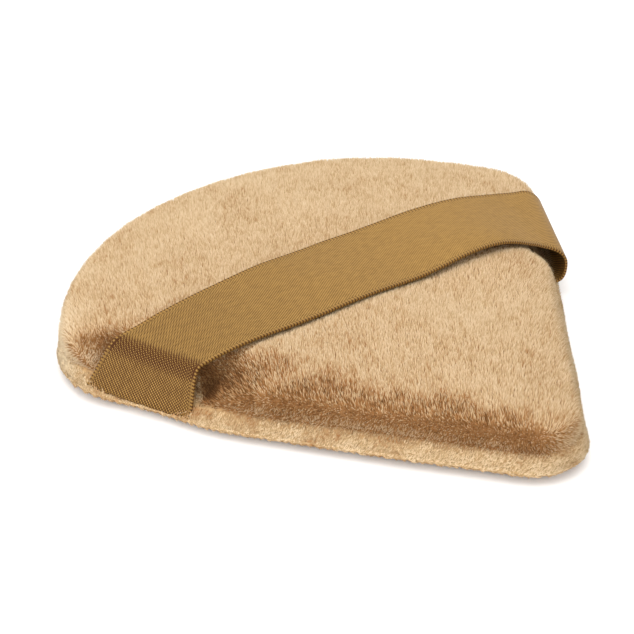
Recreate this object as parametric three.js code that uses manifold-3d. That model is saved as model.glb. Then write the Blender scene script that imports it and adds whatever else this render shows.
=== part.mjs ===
// Powder puff: a pie-slice velour pad over foam, with a satin ribbon finger strap sewn into its side seams.
// Millimetres, +Z up. The pad lies on its flat lower panel, with its tip towards -Y.
import * as THREE from 'three';
import Module from 'manifold-3d';

// Plan of the pad: two straight sides that meet at a rounded tip, and a bowed back edge
const TIP_ANGLE = 73; // degrees between the two sides
const SIDE_LENGTH = 71; // sharp tip to sharp back corner, before rounding
const BACK_BOW = 30.9; // rise of the back edge above the line between the sharp corners
const TIP_RADIUS = 7;
const CORNER_RADIUS = 11.4;

// Section of the pad
const COVER_THICKNESS = 1.3; // velour backing and pile
const FOAM_RIM = 2; // foam left at the edge, above the seam
const SHOULDER_RADIUS = 2.5; // rounding of the top edge
const CROWN = 2; // rise of the middle above the shoulder
const SEAM_DRAW = 0.8; // how far the seam is drawn in from the edge
const ALLOWANCE = 4; // seam allowance turned inwards, from the edge
const ALLOWANCE_THICKNESS = 0.8; // velour pressed flat in the seam
const THREAD_DIAMETER = 0.4;
const TURNING_GAP = 38; // length of the back seam that is closed by hand

// Ribbon strap
const RIBBON_WIDTH = 15;
const RIBBON_THICKNESS = 0.45;
const STRAP_SETBACK = 9.6; // from the line between the sharp back corners to the ribbon's middle
const STRAP_SKEW = 2.2; // degrees, the right end nearer to the tip
const FOLD_INSET = 2.2; // from each side in to the ribbon's fold
const TAIL_SPREAD = 16; // seam taken up by a ribbon end, which meets it a little askew
const LEFT_TAIL_SHIFT = -0.4; // along the seam, from where the straight ribbon would cross it
const RIGHT_TAIL_SHIFT = -2;
const LEFT_LOOP = { near: 2.9, far: 1.7 }; // reach of the loop at its edges near and far from the tip
const RIGHT_LOOP = { near: 3.1, far: 2.2 };
const LOOP_FALL = 3.4; // how far a loop's top runs out before it turns down

// How far the ribbon's edges stand off the pad at each fold, and the far edge bows up between fold and middle
const LEFT_STAND = { near: 0, far: 1.5, bow: 0.5 };
const RIGHT_STAND = { near: 1.5, far: 1.35, bow: 1.1 };
const MIDDLE_STAND = 0.5; // of the far edge, at the ribbon's middle

// Dents where the ribbon's ends pull the pad's edge down
const LEFT_DENT = 3.2; // fall of the top
const RIGHT_DENT = 2;
const DENT_DEPTH = 7.5; // from the edge in to where the top is level again
const DENT_RUN = 7; // along the edge, over which it fades out beside the ribbon

// Clearance between pieces that touch, and between the two panels in the seam
const FIT = 0.3;

// Steps of the round stretches and of the ribbon
const TIP_STEPS = 6;
const DENT_STEPS = 6;
const CORNER_STEPS = 6;
const BACK_STEPS = 8;
const SHOULDER_STEPS = 4;
const LIP_STEPS = 4;
const CROWN_RINGS = [0.85, 0.62, 0.35];
const SPAN_STEPS = 20;
const WIDTH_STEPS = 4;
const LOOP_STEPS = 12;
const TAIL_STEPS = 2;
const THREAD_SIDES = 6;
const THREAD_STEP = 2.4;

// Heights, from the resting face up
const lowerSeam = COVER_THICKNESS + ALLOWANCE_THICKNESS;
const seamHeight = lowerSeam + FIT / 2;
const upperSeam = lowerSeam + FIT;
const allowanceTop = upperSeam + ALLOWANCE_THICKNESS;
const foamRimBottom = allowanceTop + FIT + THREAD_DIAMETER + FIT;
const shoulderHeight = foamRimBottom + FOAM_RIM + FIT + COVER_THICKNESS;
const wallTop = shoulderHeight - SHOULDER_RADIUS;

// Plan geometry, measured from the sharp tip: the right side runs along `along` and faces `outward`
const halfAngle = THREE.MathUtils.degToRad(TIP_ANGLE / 2);
const along = new THREE.Vector2(Math.sin(halfAngle), Math.cos(halfAngle));
const outward = new THREE.Vector2(Math.cos(halfAngle), -Math.sin(halfAngle));
const sharpCorner = along.clone().multiplyScalar(SIDE_LENGTH);
const backRadius = (sharpCorner.x ** 2 + BACK_BOW ** 2) / (2 * BACK_BOW);
const tipCentre = new THREE.Vector2(0, TIP_RADIUS / Math.sin(halfAngle));
const backCentre = new THREE.Vector2(0, sharpCorner.y + BACK_BOW - backRadius);
const cornerStart = cornerDistance();
const cornerCentre = along.clone().multiplyScalar(cornerStart).addScaledVector(outward, -CORNER_RADIUS);
const cornerTurn = cornerCentre.clone().sub(backCentre).angle();
const dentStart = cornerStart - (RIBBON_WIDTH + 2 * DENT_RUN);
const tipY = tipCentre.y - TIP_RADIUS;
const backY = backCentre.y + backRadius;
const middleY = (tipY + backY) / 2;
const crownCentre = new THREE.Vector2(0, backY / (1 + Math.sin(halfAngle)));

// Distance up the side at which the corner's rounding starts: it touches the side and the back arc
function cornerDistance() {
  const offset = outward.clone().multiplyScalar(-CORNER_RADIUS).sub(backCentre);
  const slope = along.dot(offset);
  return Math.sqrt(slope ** 2 - offset.lengthSq() + (backRadius - CORNER_RADIUS) ** 2) - slope;
}

function arc(centre, radius, from, to, steps) {
  const points = [];
  for (let i = 0; i <= steps; i++) {
    const angle = from + ((to - from) * i) / steps;
    points.push(new THREE.Vector2(Math.cos(angle), Math.sin(angle)).multiplyScalar(radius).add(centre));
  }
  return points;
}

// Points on the straight side, where the ribbon's end dents the pad
function dentedSide(inset) {
  return Array.from({ length: DENT_STEPS }, (_, i) => {
    const distance = THREE.MathUtils.lerp(dentStart, cornerStart, i / DENT_STEPS);
    return along.clone().multiplyScalar(distance).addScaledVector(outward, -inset);
  });
}

// Right half of the edge from the tip to the back, drawn in by `inset`; the back arc stops at `backStop`
function rightHalf(inset, backStop = Math.PI / 2) {
  return [
    ...arc(tipCentre, TIP_RADIUS - inset, -Math.PI / 2, -halfAngle, TIP_STEPS),
    ...dentedSide(inset),
    ...arc(cornerCentre, CORNER_RADIUS - inset, -halfAngle, cornerTurn, CORNER_STEPS),
    ...arc(backCentre, backRadius - inset, cornerTurn, backStop, BACK_STEPS).slice(1),
  ];
}

function mirrored(points) {
  return points.map((p) => new THREE.Vector2(-p.x, p.y));
}

// Whole edge, anticlockwise from above, starting at the tip
function outline(inset) {
  const right = rightHalf(inset);
  return [...right, ...mirrored(right.slice(1, -1)).reverse()];
}

// Point on the right edge at a distance from the sharp tip, on the side or on round the corner
function edgePoint(distance, inset) {
  const turn = Math.max(0, distance - cornerStart) / CORNER_RADIUS;
  const straight = along.clone().multiplyScalar(Math.min(distance, cornerStart));
  const facing = outward.clone().rotateAround(new THREE.Vector2(), turn);
  const centre = straight.addScaledVector(outward, -CORNER_RADIUS);
  return { point: centre.addScaledVector(facing, CORNER_RADIUS - inset), facing };
}

// Part frame: the plan's middle is the origin
function place(point, z) {
  return new THREE.Vector3(point.x, point.y - middleY, z);
}

function ring(inset, z) {
  return outline(inset).map((p) => place(p, z));
}

// Height of the crowned top over a plan point: 1 on the shoulder line in `share` is the crown's foot
const shoulderLine = outline(SHOULDER_RADIUS);
function crownHeight(share) {
  return shoulderHeight + CROWN * (1 - share ** 2);
}

function crownShare(point) {
  const spoke = point.clone().sub(crownCentre);
  return Math.max(...shoulderLine.map((corner, i) => {
    const edge = shoulderLine[(i + 1) % shoulderLine.length].clone().sub(corner);
    const normal = new THREE.Vector2(edge.y, -edge.x);
    return normal.dot(spoke) / normal.dot(corner.clone().sub(crownCentre));
  }));
}

// Rings of the crown, a depth under the top surface, from the shoulder line to the middle
function crownRings(depth) {
  return CROWN_RINGS.map((share) =>
    shoulderLine.map((p) => place(crownCentre.clone().lerp(p, share), crownHeight(share) - depth)));
}

function crownTop(depth) {
  return place(crownCentre, crownHeight(0) - depth);
}

// Rings of the rounded shoulder, a depth under the surface, from its top to its foot
function shoulderRings(depth) {
  const rings = [];
  for (let i = 0; i <= SHOULDER_STEPS; i++) {
    const angle = (Math.PI / 2) * (1 - i / SHOULDER_STEPS);
    const radius = SHOULDER_RADIUS - depth;
    rings.push(ring(SHOULDER_RADIUS - radius * Math.cos(angle), wallTop + radius * Math.sin(angle)));
  }
  return rings;
}

// Rings of a wall that is drawn in to the seam, as part of an ellipse about its fullest height
function lipRings(fullest, reach, fromAngle, toAngle, steps) {
  const rings = [];
  for (let i = 0; i <= steps; i++) {
    const angle = fromAngle + ((toAngle - fromAngle) * i) / steps;
    rings.push(ring(SEAM_DRAW * (1 - Math.cos(angle)), fullest + reach * Math.sin(angle)));
  }
  return rings;
}

// Pulls a ring of the upper panel or of the foam down at the ribbon's ends
function dented(points) {
  const { smoothstep, clamp } = THREE.MathUtils;
  return points.map((point) => {
    const moved = point.clone();
    const fall = clamp((point.z - foamRimBottom) / (shoulderHeight + CROWN - foamRimBottom), 0, 1);
    for (const [side, shift, dent] of [[-1, LEFT_TAIL_SHIFT, LEFT_DENT], [1, RIGHT_TAIL_SHIFT, RIGHT_DENT]]) {
      const plan = new THREE.Vector2(side * point.x, point.y + middleY);
      const past = plan.dot(along) - tailDistance(side, shift);
      const run = 1 - smoothstep(Math.abs(past), (TAIL_SPREAD - DENT_RUN) / 2, (TAIL_SPREAD + DENT_RUN) / 2);
      const pull = run * (1 - smoothstep(-plan.dot(outward), SHOULDER_RADIUS, DENT_DEPTH));
      moved.z -= dent * fall * pull;
    }
    return moved;
  });
}

// Closed mesh with its faces pointing out
function closedGeometry(points, triangles) {
  const volume = triangles.reduce((sum, [a, b, c]) =>
    sum + points[a].dot(new THREE.Vector3().crossVectors(points[b], points[c])), 0);
  const facing = volume < 0 ? triangles.map(([a, b, c]) => [a, c, b]) : triangles;
  const geometry = new THREE.BufferGeometry().setFromPoints(points);
  geometry.setIndex(facing.flat());
  geometry.computeVertexNormals();
  return geometry;
}

// Skin from a first point, through rings with the same count of points, to a last point
function loft(first, rings, last) {
  const count = rings[0].length;
  const points = [first, ...rings.flat(), last];
  const at = (r, i) => 1 + r * count + (i % count);
  const triangles = [];
  for (let i = 0; i < count; i++) {
    triangles.push([0, at(0, i), at(0, i + 1)]);
    for (let r = 0; r + 1 < rings.length; r++) {
      triangles.push([at(r, i), at(r + 1, i), at(r + 1, i + 1)]);
      triangles.push([at(r, i), at(r + 1, i + 1), at(r, i + 1)]);
    }
    triangles.push([at(rings.length - 1, i), points.length - 1, at(rings.length - 1, i + 1)]);
  }
  return closedGeometry(points, triangles);
}

// Closed sheet of a thickness about a grid of points, given as rows across its length
function sheet(rows, thickness) {
  const across = rows[0].length;
  const clampRow = (r) => rows[Math.min(Math.max(r, 0), rows.length - 1)];
  const at = (r, c) => r * across + c;
  const layer = (side) => rows.flatMap((row, r) => row.map((point, c) => {
    const length = clampRow(r + 1)[c].clone().sub(clampRow(r - 1)[c]);
    const width = row[Math.min(c + 1, across - 1)].clone().sub(row[Math.max(c - 1, 0)]);
    return point.clone().addScaledVector(length.cross(width).normalize(), (side * thickness) / 2);
  }));
  const points = [...layer(1), ...layer(-1)];
  const below = rows.length * across;
  const triangles = [];
  const quad = (a, b, c, d) => triangles.push([a, b, c], [a, c, d]);
  for (let r = 0; r + 1 < rows.length; r++) {
    for (let c = 0; c + 1 < across; c++) {
      quad(at(r, c), at(r + 1, c), at(r + 1, c + 1), at(r, c + 1));
      quad(below + at(r, c), below + at(r, c + 1), below + at(r + 1, c + 1), below + at(r + 1, c));
    }
    quad(at(r, 0), below + at(r, 0), below + at(r + 1, 0), at(r + 1, 0));
    quad(at(r, across - 1), at(r + 1, across - 1), below + at(r + 1, across - 1), below + at(r, across - 1));
  }
  const end = rows.length - 1;
  for (let c = 0; c + 1 < across; c++) {
    quad(at(0, c), at(0, c + 1), below + at(0, c + 1), below + at(0, c));
    quad(at(end, c), below + at(end, c), below + at(end, c + 1), at(end, c + 1));
  }
  return closedGeometry(points, triangles);
}

const wasm = await Module();
wasm.setup();

function solid(geometry) {
  return new wasm.Manifold(new wasm.Mesh({
    numProp: 3,
    vertProperties: new Float32Array(geometry.attributes.position.array),
    triVerts: new Uint32Array(geometry.index.array),
  }));
}

function cut(geometry, tools) {
  const left = tools.reduce((rest, tool) => rest.subtract(solid(tool)), solid(geometry)).getMesh();
  const result = new THREE.BufferGeometry();
  result.setAttribute('position', new THREE.BufferAttribute(left.vertProperties, 3));
  result.setIndex(new THREE.BufferAttribute(left.triVerts, 1));
  result.computeVertexNormals();
  return result;
}

// Upper panel: crown, shoulder and wall down to the seam, then its allowance turned in
function upperCover() {
  const outer = [
    ...crownRings(0).reverse(),
    ...shoulderRings(0),
    ...lipRings(wallTop, wallTop - upperSeam, 0, -Math.PI / 2, LIP_STEPS).slice(1),
  ];
  const allowance = [
    ring(ALLOWANCE, upperSeam),
    ring(ALLOWANCE, allowanceTop),
    ring(COVER_THICKNESS, allowanceTop),
  ];
  const inner = [...shoulderRings(COVER_THICKNESS).reverse(), ...crownRings(COVER_THICKNESS)];
  const rings = [...outer, ...allowance, ...inner].map(dented);
  return loft(crownTop(0), rings, crownTop(COVER_THICKNESS));
}

// Lower panel: flat, with its lip rolled up to the seam and its allowance folded back on it
function lowerCover() {
  const lip = lipRings(lowerSeam / 2, lowerSeam / 2, Math.PI / 2, -Math.PI / 2, 2 * LIP_STEPS);
  const rings = [ring(ALLOWANCE, COVER_THICKNESS), ring(ALLOWANCE, lowerSeam), ...lip];
  return loft(place(crownCentre, COVER_THICKNESS), rings, place(crownCentre, 0));
}

// Foam: fills the covers, with a rebate round its lower edge for the seam allowances
function foamPad() {
  const skin = COVER_THICKNESS + FIT;
  const rebate = [
    ring(ALLOWANCE + FIT, skin),
    ring(ALLOWANCE + FIT, foamRimBottom),
    ring(skin, foamRimBottom),
  ];
  const rings = [...rebate, ...shoulderRings(skin).reverse(), ...crownRings(skin)].map(dented);
  return loft(place(crownCentre, skin), rings, crownTop(skin));
}

// Ribbon: its straight run in plan, and the height of its middle layer in the seam
const strapMiddle = new THREE.Vector2(0, sharpCorner.y - STRAP_SETBACK);
const skew = THREE.MathUtils.degToRad(STRAP_SKEW);
const strapRun = new THREE.Vector2(Math.cos(skew), -Math.sin(skew));
const strapAcross = new THREE.Vector2(Math.sin(skew), Math.cos(skew));
const tailHeight = upperSeam - FIT - RIBBON_THICKNESS / 2;

// Height of its middle layer on the pad: `share` runs from its near edge to its far one, and `reach` from its
// middle (0) to a fold (-1 on the left, 1 on the right)
function strapHeight(point, share, reach) {
  const stand = reach < 0 ? LEFT_STAND : RIGHT_STAND;
  const inner = 1 - Math.abs(reach);
  const atFold = THREE.MathUtils.lerp(stand.near, stand.far, share) * reach ** 2;
  const bowed = share * (stand.bow * Math.sin(Math.PI * inner) ** 2 + MIDDLE_STAND * inner * (2 - inner));
  return crownHeight(crownShare(point)) + FIT + RIBBON_THICKNESS / 2 + atFold + bowed;
}

// Length along the ribbon at which it is `inset` in from a side: side is 1 on the right and -1 on the left
function strapReach(across, side, inset) {
  const facing = new THREE.Vector2(side * outward.x, outward.y);
  const start = strapMiddle.clone().addScaledVector(strapAcross, across);
  return (-inset - facing.dot(start)) / facing.dot(strapRun);
}

function strapPoint(across, length) {
  return strapMiddle.clone().addScaledVector(strapAcross, across).addScaledVector(strapRun, length);
}

function acrossRibbon(column) {
  return RIBBON_WIDTH * (column / WIDTH_STEPS - 1 / 2);
}

const columns = [...Array(WIDTH_STEPS + 1).keys()];

// Middle of the strap, lying on the crown from fold to fold
function strapSpan() {
  const rows = [];
  for (let i = 0; i <= SPAN_STEPS; i++) {
    const reach = (2 * i) / SPAN_STEPS - 1;
    rows.push(columns.map((column) => {
      const across = acrossRibbon(column);
      const point = strapPoint(across, strapReach(across, reach < 0 ? -1 : 1, FOLD_INSET) * Math.abs(reach));
      return place(point, strapHeight(point, column / WIDTH_STEPS, reach));
    }));
  }
  return sheet(rows, RIBBON_THICKNESS);
}

// Distance along a side from the sharp tip to the middle of a ribbon end in the seam
function tailDistance(side, shift) {
  return strapPoint(0, strapReach(0, side, 0)).length() + shift;
}

// Where a ribbon end lies in the seam, across its width from -1/2 to 1/2 and drawn in by `inset`
function tailPoint(side, shift, share, spread, inset) {
  const { point, facing } = edgePoint(tailDistance(side, shift) + share * spread, inset);
  const flip = new THREE.Vector2(side, 1);
  return { point: point.multiply(flip), facing: facing.multiply(flip) };
}

// End of the strap: from its fold it loops out over the wall, turns back and runs into the seam
function strapEnd(side, shift, loop) {
  const lines = columns.map((column) => {
    const across = acrossRibbon(column);
    const share = column / WIDTH_STEPS;
    const fold = strapPoint(across, strapReach(across, side, FOLD_INSET) + side * FIT);
    const { point: mouth, facing } = tailPoint(side, shift, share - 1 / 2, TAIL_SPREAD, 0);
    const fall = fold.clone().addScaledVector(strapRun, side * LOOP_FALL);
    const reach = THREE.MathUtils.lerp(loop.near, loop.far, share);
    const turn = mouth.clone().addScaledVector(facing, reach);
    const foldHeight = strapHeight(fold, share, side);
    const curve = new THREE.CubicBezierCurve3(
      place(fold, foldHeight), place(fall, foldHeight), place(turn, tailHeight), place(mouth, tailHeight));
    const tail = Array.from({ length: TAIL_STEPS }, (_, i) =>
      place(mouth.clone().addScaledVector(facing, (-ALLOWANCE * (i + 1)) / TAIL_STEPS), tailHeight));
    return [...curve.getPoints(LOOP_STEPS), ...tail];
  });
  return sheet(lines[0].map((_, row) => lines.map((line) => line[row])), RIBBON_THICKNESS);
}

// Room for a ribbon end in the lower panel's allowance, open to the edge and to the foam
function tailSlot(side, shift) {
  const height = RIBBON_THICKNESS + 2 * FIT;
  const ends = [-SEAM_DRAW, ALLOWANCE + FIT / 2];
  const rows = ends.map((inset) => columns.map((column) => {
    const { point } = tailPoint(side, shift, column / WIDTH_STEPS - 1 / 2, TAIL_SPREAD + 2 * FIT, inset);
    return place(point, tailHeight);
  }));
  return sheet(rows, height);
}

// Thread along the edge, given as plan points
function thread(points, z) {
  const path = new THREE.CatmullRomCurve3(points.map((p) => place(p, z)), false, 'centripetal');
  const section = new THREE.Shape();
  section.absarc(0, 0, THREAD_DIAMETER / 2, 0, 2 * Math.PI, false);
  const geometry = new THREE.ExtrudeGeometry(section, {
    extrudePath: path,
    steps: Math.round(path.getLength() / THREAD_STEP),
    curveSegments: THREAD_SIDES,
    bevelEnabled: false,
  });
  return geometry;
}

// Angle on the back arc at which the hand-closed gap starts
function gapAngle(inset) {
  return Math.acos(TURNING_GAP / 2 / (backRadius - inset));
}

// Lockstitch: lies in the corner of the upper panel's wall and allowance, all round but for the turning gap
function seamThread() {
  const inset = COVER_THICKNESS + FIT + THREAD_DIAMETER / 2;
  const right = rightHalf(inset, gapAngle(inset));
  const height = allowanceTop + FIT + THREAD_DIAMETER / 2;
  return thread([...right.slice().reverse(), ...mirrored(right).slice(1)], height);
}

// Hand stitches: lie in the drawn-in seam over the turning gap
function closingThread() {
  const start = gapAngle(0);
  return thread(arc(backCentre, backRadius, start, Math.PI - start, 2 * BACK_STEPS), seamHeight);
}

function part(name, geometry, colour, roughness) {
  const material = new THREE.MeshStandardMaterial({ color: colour, roughness, metalness: 0 });
  const mesh = new THREE.Mesh(geometry, material);
  mesh.name = name;
  return mesh;
}

const VELOUR = 0xd9bb8e;
const FOAM = 0xf0e6d2;
const SATIN = 0xa98545;
const THREAD = 0xcaa878;

const slots = [tailSlot(-1, LEFT_TAIL_SHIFT), tailSlot(1, RIGHT_TAIL_SHIFT)];
const puff = new THREE.Group();
puff.name = 'powder_puff';
puff.add(
  part('upper_cover', upperCover(), VELOUR, 0.95),
  part('lower_cover', cut(lowerCover(), slots), VELOUR, 0.95),
  part('foam_pad', foamPad(), FOAM, 0.9),
  part('strap_span', strapSpan(), SATIN, 0.4),
  part('strap_left_end', strapEnd(-1, LEFT_TAIL_SHIFT, LEFT_LOOP), SATIN, 0.4),
  part('strap_right_end', strapEnd(1, RIGHT_TAIL_SHIFT, RIGHT_LOOP), SATIN, 0.4),
  part('seam_thread', seamThread(), THREAD, 0.7),
  part('closing_thread', closingThread(), THREAD, 0.7),
);

export default puff;
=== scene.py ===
"""Dresses a pie-slice powder puff in velour, foam, satin ribbon and thread, and sets its stage."""

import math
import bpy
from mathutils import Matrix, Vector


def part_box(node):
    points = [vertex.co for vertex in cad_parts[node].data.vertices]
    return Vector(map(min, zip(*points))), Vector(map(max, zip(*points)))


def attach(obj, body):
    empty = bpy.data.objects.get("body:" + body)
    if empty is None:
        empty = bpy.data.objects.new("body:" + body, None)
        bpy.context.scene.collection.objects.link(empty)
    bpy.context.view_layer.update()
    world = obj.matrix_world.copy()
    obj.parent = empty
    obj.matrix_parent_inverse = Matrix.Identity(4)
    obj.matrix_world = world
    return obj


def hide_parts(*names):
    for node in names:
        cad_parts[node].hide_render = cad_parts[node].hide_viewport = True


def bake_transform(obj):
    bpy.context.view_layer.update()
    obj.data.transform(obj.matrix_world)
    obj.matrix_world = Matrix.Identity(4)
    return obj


bl_info = {
    "name": "Powder puff",
    "version": (1, 0, 0),
    "blender": (4, 5, 0),
    "location": "View3D > Sidebar > Powder puff",
    "description": "Builds the covers, pile, foam, satin strap and threads of a powder puff",
    "category": "Object",
}

from functools import partial

import bmesh
import bpy
import numpy as np
from bpy.props import FloatProperty, FloatVectorProperty, PointerProperty
from mathutils import Euler, Matrix, Vector, noise
from mathutils.bvhtree import BVHTree
from mathutils.geometry import interpolate_bezier

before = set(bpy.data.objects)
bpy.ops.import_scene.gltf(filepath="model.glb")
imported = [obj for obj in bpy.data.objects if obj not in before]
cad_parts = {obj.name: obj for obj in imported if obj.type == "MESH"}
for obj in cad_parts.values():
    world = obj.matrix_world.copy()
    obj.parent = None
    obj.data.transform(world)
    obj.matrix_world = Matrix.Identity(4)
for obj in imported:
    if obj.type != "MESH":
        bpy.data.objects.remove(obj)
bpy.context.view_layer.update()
MM = 0.001


def hex_colour(text):
    """Linear red, green and blue of an sRGB hex colour."""
    parts = [int(text[i:i + 2], 16) / 255 for i in (1, 3, 5)]
    return [c / 12.92 if c <= 0.04045 else ((c + 0.055) / 1.055) ** 2.4 for c in parts]


def in_mm(name, description, millimetres):
    return FloatProperty(name=name, description=description, default=millimetres * MM,
                         subtype="DISTANCE", unit="LENGTH", precision=5)


def in_degrees(name, description, degrees):
    return FloatProperty(name=name, description=description, default=math.radians(degrees), subtype="ANGLE")


def in_hex(name, description, text):
    return FloatVectorProperty(name=name, description=description, default=hex_colour(text),
                               size=3, min=0, max=1, subtype="COLOR")


class PadSettings(bpy.types.PropertyGroup):
    """Plan of the pad and the form of its sewn covers."""
    tip_angle: in_degrees("Tip angle", "Angle between the two straight sides", 73)
    tip_radius: in_mm("Tip radius", "Rounding of the tip in plan", 7)
    corner_start: in_mm("Corner start", "Distance along a side to its rounded back corner", 64.6)
    corner_radius: in_mm("Corner radius", "Rounding of a back corner in plan", 11.4)
    back_radius: in_mm("Back radius", "Radius of the bowed back edge", 44.31)
    back_centre: in_mm("Back centre", "From the sharp tip to the centre of the back's arc", 43.66)
    turning_gap: in_mm("Turning gap", "Stretch of the back seam that is closed by hand", 38)
    seam_height: in_mm("Seam height", "Height of the seam between the covers", 2.25)
    seam_rise: in_mm("Seam rise", "How much higher the seam runs at the tip", 0.8)
    lip_lap: in_mm("Lip lap", "How far the lower cover's lip laps up over the wall", 0.75)
    voxel: in_mm("Cloth grid", "Cell of the grid that the covers are simulated on", 0.65)
    swell: in_mm("Swell", "Most that the filling may push a cover out", 0.2)
    backing: in_hex("Backing", "Knitted ground that the upper cover's pile stands in", "#A67C50")
    pale_backing: in_hex("Pale backing", "Knitted ground of the lower cover", "#C5A071")
    foam: in_hex("Foam", "Polyurethane foam of the core", "#EFE3CB")


class PileSettings(bpy.types.PropertyGroup):
    """Velour pile that stands on the covers, in tufts that are coarser than real fibres so that they show."""
    length: in_mm("Pile length", "Length of a fibre tuft", 0.85)
    thickness: in_mm("Tuft width", "Width of a tuft at its root", 0.17)
    spacing: in_mm("Tuft spacing", "Mean distance between tufts", 0.17)
    stray: FloatProperty(name="Stray", description="How far tufts stray from the nap's direction",
                         default=0.24, min=0, max=4, subtype="FACTOR")
    # Painted shade deep in the pile: the roots are darker than the tips
    root: in_hex("Root colour", "Colour deep between the tufts", "#AC7A48")
    # Painted deep shade, for tufts shut in a fold
    deep: in_hex("Deep nap", "Tufts shut in a fold", "#402512")
    # Painted shade, for tufts seen end on
    dark: in_hex("Dark nap", "Tufts seen end on", "#B07C4E")
    dull: in_hex("Dull nap", "Tufts half in shade", "#C9A97D")
    middle: in_hex("Nap", "Most tufts", "#E4C8A0")
    light: in_hex("Light nap", "Tufts that lie over and shine", "#F2DEBC")


class RibbonSettings(bpy.types.PropertyGroup):
    """Satin ribbon that makes the finger strap, with a weave that is coarser than life so that it shows."""
    width: in_mm("Width", "Width of the ribbon", 15)
    thickness: in_mm("Thickness", "Thickness of the ribbon", 0.35)
    place: in_mm("Place", "From the sharp tip to the middle of the ribbon", 47.5)
    skew: in_degrees("Skew", "Turn that brings the right end nearer to the tip", 2.2)
    tail: in_mm("Tail", "Length of ribbon caught in the seam", 4)
    float_length: in_mm("Float", "Length of a warp float of the satin weave", 0.57)
    float_width: in_mm("Float width", "Distance between rows of warp floats", 0.27)
    bead: in_mm("Selvedge bead", "Distance between the beads of the selvedge", 0.48)
    satin: in_hex("Satin", "Face of the ribbon", "#A78144")
    shade: in_hex("Shade", "Gaps between the floats", "#452A0C")
    # Painted shade, for the band where the ribbon folds over at the left end
    fold_shade: in_hex("Crease", "Bend at the left end, where the floats turn from the light", "#462608")


class ThreadSettings(bpy.types.PropertyGroup):
    """Sewing threads."""
    thickness: in_mm("Thickness", "Thickness of the thread", 0.4)
    inset: in_mm("Inset", "From the pad's edge in to the lockstitch", 1.8)
    height: in_mm("Height", "Height of the lockstitch, on the turned-in edges of the covers", 3.7)
    stitch: in_mm("Stitch", "Length of a machine stitch", 2.4)
    hand_stitch: in_mm("Hand stitch", "Length of a hand stitch", 3)
    twist: in_mm("Twist", "Length in which the plies wind once round each other", 1.2)
    grain: in_mm("Grain", "Step at which the threads are modelled", 0.2)
    colour: in_hex("Thread", "Dyed to match the velour", "#CDAA7C")


class StageSettings(bpy.types.PropertyGroup):
    """Camera, floor and lights."""
    azimuth: in_degrees("Azimuth", "Turn of the camera about the puff", -33.92)
    elevation: in_degrees("Elevation", "Height of the camera as an angle", 31.86)
    roll: in_degrees("Roll", "Tilt of the camera about its own axis", -1.29)
    distance: in_mm("Distance", "From the camera to the point that it looks at", 205.4)
    aim: FloatVectorProperty(name="Aim", description="Point that the camera looks at", subtype="TRANSLATION",
                             default=(-8.2 * MM, 0.2 * MM, 5 * MM), unit="LENGTH", precision=5)
    lens: FloatProperty(name="Lens", description="Focal length on a 36 mm sensor", default=84.52,
                        unit="CAMERA")
    floor: in_hex("Floor", "Plain pale floor", "#F6F6F6")


def add_node(tree, kind, settings=None, inputs=None):
    """Adds a node, sets its properties, and sets or links its inputs by name or by place."""
    node = tree.nodes.new(kind)
    for name, value in (settings or {}).items():
        setattr(node, name, value)
    for name, value in (inputs or {}).items():
        socket = node.inputs[name] if isinstance(name, int) else next(
            s for s in node.inputs if s.name == name and s.enabled)
        if isinstance(value, bpy.types.NodeSocket):
            tree.links.new(value, socket)
        else:
            socket.default_value = value
    return node


def result(tree, kind, operation, *inputs):
    """Adds a node that works on its inputs, and gives its first output."""
    return add_node(tree, kind, {"operation": operation}, dict(enumerate(inputs))).outputs[0]


def new_material(name, roughness, specular=0.5):
    """New material, its node tree and its shader."""
    material = bpy.data.materials.new(name)
    material.use_nodes = True
    tree = material.node_tree
    shader = tree.nodes["Principled BSDF"]
    shader.inputs["Roughness"].default_value = roughness
    shader.inputs["Specular IOR Level"].default_value = specular
    return material, tree, shader


def set_ramp(node, stops):
    """Gives a colour ramp its stops, as pairs of place and linear colour."""
    ramp = node.color_ramp
    while len(ramp.elements) < len(stops):
        ramp.elements.new(1)
    for element, (place, colour) in zip(ramp.elements, stops):
        element.position = place
        element.color = (*colour, 1)


def dress(tree, shader, colour, relief=None):
    """Gives a shader its colour and its relief, as the strength, distance and height of a bump."""
    tree.links.new(colour, shader.inputs["Base Color"])
    if relief:
        bump = add_node(tree, "ShaderNodeBump", None, dict(zip(("Strength", "Distance", "Height"), relief)))
        tree.links.new(bump.outputs[0], shader.inputs["Normal"])


def velour_pile_material(pile):
    """Cut polyester velour: tufts are painted dark at the root, as the shade deep in the pile, pale at the
    tip, and vary from each other.
    """
    material, tree, shader = new_material("polyester velour pile", 0.75, 0.05)
    palette = add_node(tree, "ShaderNodeUVMap", {"uv_map": "OFBake"})
    axes = add_node(tree, "ShaderNodeSeparateXYZ", None, {0: palette.outputs[0]})
    nap = add_node(tree, "ShaderNodeValToRGB", None, {0: axes.outputs[0]})
    set_ramp(nap, [(0, pile.deep), (0.2, pile.dark), (0.36, pile.dull), (0.5, pile.middle), (1, pile.light)])
    # Painted shade deep in the pile: each tuft darkens towards its root
    depth = add_node(tree, "ShaderNodeValToRGB", None, {0: axes.outputs[1]})
    set_ramp(depth, [(0.1, (0, 0, 0)), (0.75, (1, 1, 1))])
    colour = add_node(tree, "ShaderNodeMix", {"data_type": "RGBA"},
                      {0: depth.outputs[0], 6: (*pile.root, 1), 7: nap.outputs[0]})
    dress(tree, shader, colour.outputs[2])
    return material


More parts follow.
